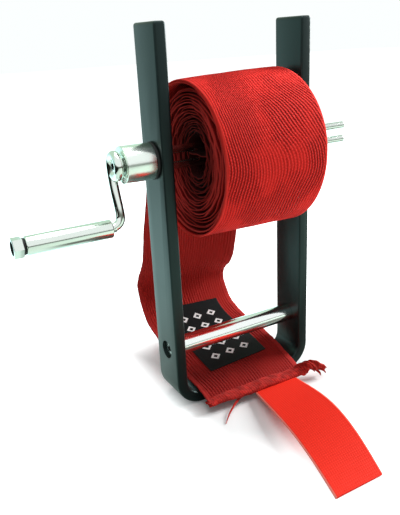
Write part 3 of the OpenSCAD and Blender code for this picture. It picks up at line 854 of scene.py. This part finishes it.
class ROLLER_OT_roll(bpy.types.Operator):
    """Wound wrap: one strip in a spiral of many turns with uneven edges"""

    bl_idname = "roller.roll"
    bl_label = "Wound wrap"

    def execute(self, context):
        props = context.scene.roller_wrap
        low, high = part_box("wrap_roll")
        width, offset = high[0] - low[0], (high[0] + low[0]) / 2
        place, radius, angle = spiral(props, 80)
        x, share = rounded(12, width, 0.5 * MM)
        side = x / (width / 2)
        left, right = np.clip(-side, 0, 1), np.clip(side, 0, 1)
        turn, turns = place[:, None], props.turns
        inner = turn / turns
        back, lift = np.cos(angle)[:, None], np.sin(angle)[:, None]
        rim = smooth(turns - 2.2, turns - 1.4, turn)
        whole = np.arange(turns + 2)
        luck = np.modf(np.sin(whole * 12.9898) * 43758.5)[0]
        chance = np.interp(place, whole, luck)[:, None]

        def waver(rate, seed):
            return ripple(angle * rate, seed)[:, None]

        # Across the roll: inner turns stand back from the edges of the last one, and wander.
        near = np.clip(0.35 - 0.65 * back - 0.35 * lift, 0, 1)
        recess = (1 - rim) * (2.6 * (1 - 0.75 * near) + 4.2 * (1 - inner) + 0.9 * chance) * MM
        crumple = (1 - rim) * waver(3.7, 1.4) * 0.75 * MM
        edge_left = waver(0.9, 0.4) * 0.6 * MM + crumple + recess
        edge_right = waver(0.8, 2.1) * 0.6 * MM + crumple - recess * 0.7
        spread = right * (0.9 + 1.4 * np.clip(-back, 0, 1)) * MM * inner**2
        reach = offset + x + spread + left**3 * edge_left + right**3 * edge_right

        # Out from the middle: the cloth is pressed on top, sags below and curls at its edges.
        squash = -2.1 * inner * np.clip(0.5 - side / 2, 0, 1) ** 1.5 * np.clip(lift, 0, 1)
        bulge = 1.1 * inner**3 * np.clip(back, 0, 1) ** 2
        lumps = 0.12 * inner**2 * ripple(angle[:, None] * 3.0 + side * 4, 0.9)
        lumps = lumps * (1 - np.abs(side) ** 6)
        droop = (0.1 + 0.75 * rim + 0.4 * side * rim) * inner**2 * np.clip(-lift, 0, 1)
        curl = 0.5 * (left**6 + right**6) * (1 - rim)
        curl = curl * ripple(angle[:, None] * 3.2 + turn * 5.5, 0.8)
        clump = 0.22 * (1 - rim) * smooth(2, 4, turn) * chance
        flare = 1.3 * smooth(turns - 0.16, turns - 0.02, turn)
        r = radius[:, None] + MM * (squash + bulge + lumps + droop + curl + clump + flare)

        # The inner turns lie a little toward the lower front of the slack last one.
        sag = props.slack * smooth(1, 8, turn) * (1 - smooth(turns - 1.9, turns - 1.2, turn))
        wound = grid(reach, r * back - 0.6 * sag, r * lift + ROLL_AXIS - 0.45 * sag)
        tuck = np.linspace(-6.5 * MM, props.core * 0.93, 14)[:, None]
        first = grid(reach[0], tuck, ROLL_AXIS + TUCK + 0.25 * MM * np.sin(tuck * 700))
        middle = np.concatenate([first, wound[2:]])
        run = lengths(middle)
        thin = np.concatenate([np.ones((len(first) - 2, 1)), 1 - rim]) * (left**5 + right**5)
        half = share * props.thickness / 2 * (1 - 0.5 * thin)
        obj = cloth(middle, half, x + width / 2, run[:, None])
        red = ribbed_knit(
            "red_ribbed_knit", props.red, props.shaded, wander=13.0, contrast=0.98,
            edge=lambda a: a.above(0.3, 1.4) * (1 - a.above(49.4, 50.6)),
            fan=float(np.interp(turns - 0.4, place, run[-len(place):])) / MM,
            # Painted shade on the turns inside the roll, darkest at the core, with a painted
            # highlight on their edges, up to 330 mm before the outer end.
            painted_shading=lambda a: (1 - a.above(50.0, 700.0), scaled(props.shaded, 0.25)),
            rim=float(run[-1]) / MM - 330.0,
        )
        dress(obj, "wound_wrap", "roll", "red_wrap", red, "wrap_roll")
        return {"FINISHED"}


def tail_places(props, place, column, height):
    """Points of the tail's sheet for places along it and columns from -1 to 1."""
    low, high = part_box("wrap_roll")
    offset, half_roll = (low[0] + high[0]) / 2 / MM, (high[0] - low[0]) / 2 / MM
    half_mid = half_roll + 1.2
    leave_r, leave_angle, middle_z = 40.1, math.radians(8), 123.0
    leave_y = leave_r * math.cos(leave_angle)
    leave_z = middle_z + leave_r * math.sin(leave_angle)
    back, height_back = props.loop_back / MM, props.loop_height / MM
    hang, swell = leave_z - height_back, back - leave_y
    under, bar, twist, fold, rise = 8.9, 10.0, 5.0, 5.0, 2.4

    def from_roll(out, down):
        return leave_y + swell * out, leave_z - hang * down

    def to_bar(ahead, down):
        return back + (bar - back) * ahead, height_back + (under - height_back) * down

    # Each row: depth and height, twist in plan, tilt, half width and the fold at the right edge.
    rows = [
        [*from_roll(0, 0), 0, 0, half_roll, 0],
        [*from_roll(0.20, 0.29), 0, 0, half_roll, fold / 4],
        [*from_roll(0.32, 0.54), twist * 0.5, 0, half_mid, fold],
        [*from_roll(0.58, 0.80), twist * 0.8, 0, half_mid, fold],
        [*from_roll(0.91, 0.93), twist, 0, half_mid, fold / 3],
        [*to_bar(0, 0), twist, 0, half_mid, 0],
        [*to_bar(0.06, 0.3), twist, 0, half_mid, 0],
        [*to_bar(0.20, 0.6), twist, rise * 0.6, half_mid, 0],
        [*to_bar(0.46, 0.77), twist * 0.8, rise, half_mid, 0],
        [*to_bar(0.86, 0.9), twist * 0.4, rise, HALF_TAIL, 0],
        [0, under, 0, rise * 0.75, HALF_TAIL, 0],
        [-bar - 1, 6.86, 0, rise / 6, HALF_TAIL, 0],
        [HEM_Y + 2.1, HEM_Z, 0, rise / 6, HALF_TAIL, 0],
    ]
    depth, level, plan, tilt, half, edge = (each[:, None] for each in along_rows(rows, place).T)
    before, after = np.maximum(place - 0.005, 0), np.minimum(place + 0.005, 1)
    step = along_rows(rows, after) - along_rows(rows, before)
    up_y, up_z = unit(step[:, 1::-1] * (1, -1)).T[..., None]
    lift = height + edge * (np.clip(column - 0.2, 0, 2) / 0.8) ** 1.5
    x = offset * (1 - place)[:, None] + column * half
    return grid(x, depth - column * plan + up_y * lift, level + column * tilt + up_z * lift) * MM


class ROLLER_OT_tail(bpy.types.Operator):
    """Free end of the wrap: hangs behind the roll, loops under the rod and ends at the hem"""

    bl_idname = "roller.tail"
    bl_label = "Wrap tail"

    def execute(self, context):
        props = context.scene.roller_wrap
        place = np.linspace(0, 1, 200)
        column, share = rounded(30, 2.0, 0.02)
        along = place[:, None]
        wavy = 0.35 * ripple(along * 60 + np.sign(column) * 1.3, 1.1) * np.abs(column) ** 8
        wavy = wavy * smooth(0.02, 0.15, along) * smooth(1.0, 0.9, along)
        middle = tail_places(props, place, column[None, :], wavy)
        run = lengths(middle)
        half, half_flat = share * props.tail_thickness / 2, 27.0 * MM
        obj = cloth(middle, half, (column + 1) * half_flat, run[:, None])
        knit = ribbed_knit(
            "red_tail_knit", props.tail_red_in_shade, props.tail_groove_in_shade, wander=2.0, contrast=0.5,
            edge=lambda a: a.above(1.0, 3.0) * (1 - a.above(51.0, 53.0)),
            # Painted light: the part of the tail nearest the roll is made lighter.
            painted_shading=lambda a: (1 - a.above(90.0, 150.0), shade(194, 46, 40)),
        )
        dress(obj, "wrap_tail_cloth", "frame", "red_wrap", knit, "wrap_tail")
        return {"FINISHED"}


class ROLLER_OT_label(bpy.types.Operator):
    """Black satin label sewn on the inner face of the tail"""

    bl_idname = "roller.label"
    bl_label = "Label"

    def execute(self, context):
        props = context.scene.roller_end
        wrap = context.scene.roller_wrap
        fine = np.linspace(0, LABEL_END, 600)
        run = lengths(tail_places(wrap, fine, np.zeros((1, 1)), 0.0))
        start = np.interp(run[-1] - LABEL_LONG * MM, run, fine)
        place = np.linspace(start, LABEL_END, 60)
        column, share = rounded(18, LABEL_WIDE / HALF_TAIL, 0.02)
        column = column + 1.5 / HALF_TAIL
        height = TAIL_HALF + LABEL_GAP + LABEL_HALF
        middle = tail_places(wrap, place, column[None, :], height)
        across = (column - column[0]) * HALF_TAIL * MM
        half = share * LABEL_HALF * MM
        obj = cloth(middle, half, across, lengths(middle)[:, None])
        dress(obj, "satin_label", "frame", "black_label", satin_label(props), "label_patch")
        return {"FINISHED"}


class ROLLER_OT_hem(bpy.types.Operator):
    """Rolled hem at the end of the wrap, with a twisted loose end at its right"""

    bl_idname = "roller.hem"
    bl_label = "Rolled hem"

    def execute(self, context):
        props = context.scene.roller_end
        t = np.concatenate([np.linspace(-29, 24, 90), np.linspace(24.4, 40, 60)])[:, None]
        path = along_rows(HEM_PATH, np.linspace(0, 1, 72))
        path_y, path_z = path.T[:, None]
        loose = smooth(24, 30, t)
        size = 1 - 0.06 * loose - 0.32 * smooth(32, 40, t) + 0.06 * np.sin(t * 2.1) * loose
        size = size * (1 - 0.3 * smooth(-8, -28, t))

        # The line that the hem is rolled round, which bends off past the tail's right edge.
        yaw = math.radians(-1)
        past = np.clip(t - 27, 0, None)
        arch = 2.2 * np.sin(np.clip(past / 13, 0, 1) * math.pi * 0.95)
        x = t * math.cos(yaw) - 0.10 * past
        y = HEM_Y + t * math.sin(yaw) - 0.32 * past
        z = HEM_Z + 0.35 * ripple(t * 0.25, 0.3) * (1 - loose) + arch

        # The rolled section at each place, flat under the tail and twisted at the loose end.
        a = path_y * size * 0.85
        b = path_z * size * (0.52 + 0.4 * loose)
        b = b + 0.12 * ripple(t * 0.9 + path_y, 0.7) + 0.1 * ripple(t * 2.2 + path_z * 2, 1.9)
        ragged = 1.1 * smooth(-24, -29, t) * ripple(np.arange(len(path))[None, :] * 0.35, 0.2)
        wind = math.radians(330) * smooth(25, 40, t)
        c, s = np.cos(wind), np.sin(wind)
        middle = grid(x + ragged, y + a * c - b * s, z + a * s + b * c) * MM
        half = props.hem_thickness / 2 * (1 - 0.35 * loose)
        along = distances(path)
        obj = cloth(middle, half, along * MM, t * MM)
        threads = [tube(*each, sides=8, steps=6) for each in HEM_THREADS]
        take(obj)
        for thread in threads:
            thread.select_set(True)
        bpy.ops.object.join()
        dress(obj, "rolled_hem", "frame", "red_hem", hem_cloth(props), "wrap_hem")
        return {"FINISHED"}


class ROLLER_OT_strip(bpy.types.Operator):
    """Hook strip: sewn under the hem, arches forward and comes down on the table"""

    bl_idname = "roller.strip"
    bl_label = "Hook strip"

    def execute(self, context):
        props = context.scene.roller_end
        width, thick, reach, swing = STRIP_WIDE, 1.3, 80.0, math.radians(11)
        start_x, start_z, arch, lean = 9.7, 2.9, 6.6, 2.4
        rest = thick / 2 + 0.02
        column, edge = rounded(24, 2.0, 0.05)
        share = np.linspace(0, 1, 90)[:, None]
        bow = np.sin(math.pi * share**1.2)
        x = start_x + column * width / 2 - share * reach * math.sin(swing)
        y = HEM_Y - share * reach * math.cos(swing)
        z = start_z * (1 - share) + rest * share + arch * bow + column * lean * bow
        middle = grid(x, y, z) * MM
        along = lengths(middle)[:, None]
        across = (column + 1) * width / 2 * MM
        obj = cloth(middle, edge * thick / 2 * MM, across, along)
        dress(obj, "hook_tape", "frame", "orange_hook_tape", hook_tape(props), "hook_strip")
        return {"FINISHED"}


class ROLLER_OT_stage(bpy.types.Operator):
    """Pale floor, soft lights and the camera"""

    bl_idname = "roller.stage"
    bl_label = "Stage"

    def execute(self, context):
        props = context.scene.roller_stage
        scene = context.scene
        scene.view_settings.view_transform = "Standard"
        self.floor(props)
        self.world(scene, props)
        self.lamp("top_light", (0.05, 0.05, 0.9), 0.7, props.key * 0.68)
        self.lamp("side_light", (0.66, -0.04, 0.34), 0.3, props.key * 1.3)
        self.card()
        self.camera(scene, props)
        return {"FINISHED"}

    def floor(self, props):
        """A wide floor that is white to the eye away from the part's own shadow."""
        deselect()
        bpy.ops.mesh.primitive_plane_add(size=8)
        floor = bpy.context.object
        floor.name = "floor"
        f = Finish("pale_floor", Roughness=0.9, Specular_IOR_Level=0.1)
        where = f.place()
        side, back, _ = f.split(where)
        away = f.node("ShaderNodeVectorMath", {"operation": "LENGTH"}, [where], "Value")
        glossy, seen = f.rays()

        # Places that the metal mirrors as dark: by the hem, off to the left and far in front.
        near = side.above(-0.09, -0.05) * (1 - back.above(-0.03, 0.0)) * back.above(-0.1, -0.07)
        left = (1 - side.above(-0.42, -0.22)) * (1 - back.above(0.1, 0.3))
        ahead = 1 - back.above(-1.1, -0.8)
        room = (near + left + ahead).math("MINIMUM", 1.0) * glossy
        behind = glossy * back.above(-0.1, 0.2)

        def mirrored(plain):
            return f.blend(behind, f.blend(glossy, plain, props.ground), props.tint)

        cloud = f.noise(where, scale=6.0)
        pale = mirrored(f.blend(cloud, props.floor, scaled(props.floor, 1.06)))
        pale = f.blend((1 - seen) * (1 - side.above(-0.14, -0.03)), pale, props.room)
        f.link(f.blend(room, pale, props.room), f.shader.inputs["Base Color"])
        far = away.above(0.045, 0.09).math("MAXIMUM", 1 - side.above(-0.046, -0.028)) * 0.88
        strength = seen * (1 - room) * (far + 0.03)
        lit = f.node(
            "ShaderNodeEmission", inputs={"Color": mirrored(BACKDROP), "Strength": strength}
        )
        both = f.node("ShaderNodeAddShader", inputs=[Value(f, f.shader.outputs[0]), lit])
        f.link(both, f.tree.nodes["Material Output"].inputs["Surface"])
        floor.data.materials.append(f.material)

    def world(self, scene, props):
        """White to the eye, dimmer as light, with a dim room and a tinted wall in the metal."""
        world = bpy.data.worlds.new("studio")
        scene.world = world
        world.use_nodes = True
        f = Nodes(world.node_tree)
        glossy, seen = f.rays()
        _, back, up = f.split(f.node("ShaderNodeTexCoord", output=0))
        room = (1 - up.above(0.02, 0.14)) * (1 - back.above(0.0, 0.5)) * glossy
        wall = glossy * back.above(0.1, 0.4) * (1 - up.above(0.12, 0.3))
        sky = f.blend(glossy * back.above(0.0, 0.4), BACKDROP, props.sky)
        sky = f.blend(room, f.blend(wall, sky, props.tint), props.room)
        outlet = f.tree.nodes["Background"].inputs
        f.link(sky, outlet["Color"])
        f.link(seen * (1 - props.ambient) + props.ambient, outlet["Strength"])

    def card(self):
        """A dark card beside the part that only the polished metal mirrors."""
        deselect()
        bpy.ops.mesh.primitive_plane_add(
            size=1, location=(-0.3, 0.08, 0.06), rotation=(math.pi / 2, 0, math.pi / 2)
        )
        card = bpy.context.object
        card.name = "dark_card"
        card.scale = (0.66, 0.12, 1)
        settle(card)
        black = (0.01, 0.012, 0.01, 1.0)
        f = Finish("dark_card", Roughness=0.9, Specular_IOR_Level=0.0, Base_Color=black)
        card.data.materials.append(f.material)
        for kind in ("camera", "diffuse", "shadow", "transmission"):
            setattr(card, "visible_" + kind, False)

    def lamp(self, name, place, size, power):
        """A soft square light turned to the part."""
        data = bpy.data.lights.new(name, "AREA")
        data.energy = power
        data.size = size
        obj = bpy.data.objects.new(name, data)
        bpy.context.collection.objects.link(obj)
        obj.location = place
        to_part = Vector((0, 0, 0.05)) - Vector(place)
        obj.rotation_euler = to_part.to_track_quat("-Z", "Y").to_euler()

    def camera(self, scene, props):
        """The view of the photo, from its place, three angles and lens."""
        yaw, pitch, roll = props.turn
        turn = Matrix.Rotation(-yaw, 4, "Z") @ Matrix.Rotation(math.pi / 2 - pitch, 4, "X")
        data = bpy.data.cameras.new("camera")
        data.lens = props.lens
        data.sensor_width = 36
        data.clip_start = 0.005
        camera = bpy.data.objects.new("camera", data)
        bpy.context.collection.objects.link(camera)
        camera.matrix_world = (
            Matrix.Translation(props.eye) @ turn @ Matrix.Rotation(roll, 4, "Z")
        )
        scene.camera = camera


class ROLLER_PT_panel(bpy.types.Panel):
    """Sizes, colours and building steps of the roller"""

    bl_idname = "ROLLER_PT_panel"
    bl_label = "Hand Wrap Roller"
    bl_space_type = "VIEW_3D"
    bl_region_type = "UI"
    bl_category = "Roller"

    def draw(self, context):
        for group, name in GROUPS.items():
            box = self.layout.box()
            for key in group.__annotations__:
                box.prop(getattr(context.scene, name), key)
        for step in STEPS:
            self.layout.operator(step.bl_idname)


GROUPS = {
    RollerMetal: "roller_metal",
    RollerWrap: "roller_wrap",
    RollerEnd: "roller_end",
    RollerStage: "roller_stage",
}
STEPS = [
    ROLLER_OT_frame, ROLLER_OT_rod, ROLLER_OT_spindle, ROLLER_OT_crank, ROLLER_OT_roll,
    ROLLER_OT_tail, ROLLER_OT_label, ROLLER_OT_hem, ROLLER_OT_strip, ROLLER_OT_stage,
]


def register():
    for group, name in GROUPS.items():
        bpy.utils.register_class(group)
        setattr(bpy.types.Scene, name, bpy.props.PointerProperty(type=group))
    for step in [*STEPS, ROLLER_PT_panel]:
        bpy.utils.register_class(step)


def unregister():
    for step in reversed([*STEPS, ROLLER_PT_panel]):
        bpy.utils.unregister_class(step)
    for group, name in GROUPS.items():
        delattr(bpy.types.Scene, name)
        bpy.utils.unregister_class(group)


def main():
    register()
    for step in STEPS:
        group, name = step.bl_idname.split(".")
        getattr(getattr(bpy.ops, group), name)()
    deselect()


if __name__ == "__main__":
    main()
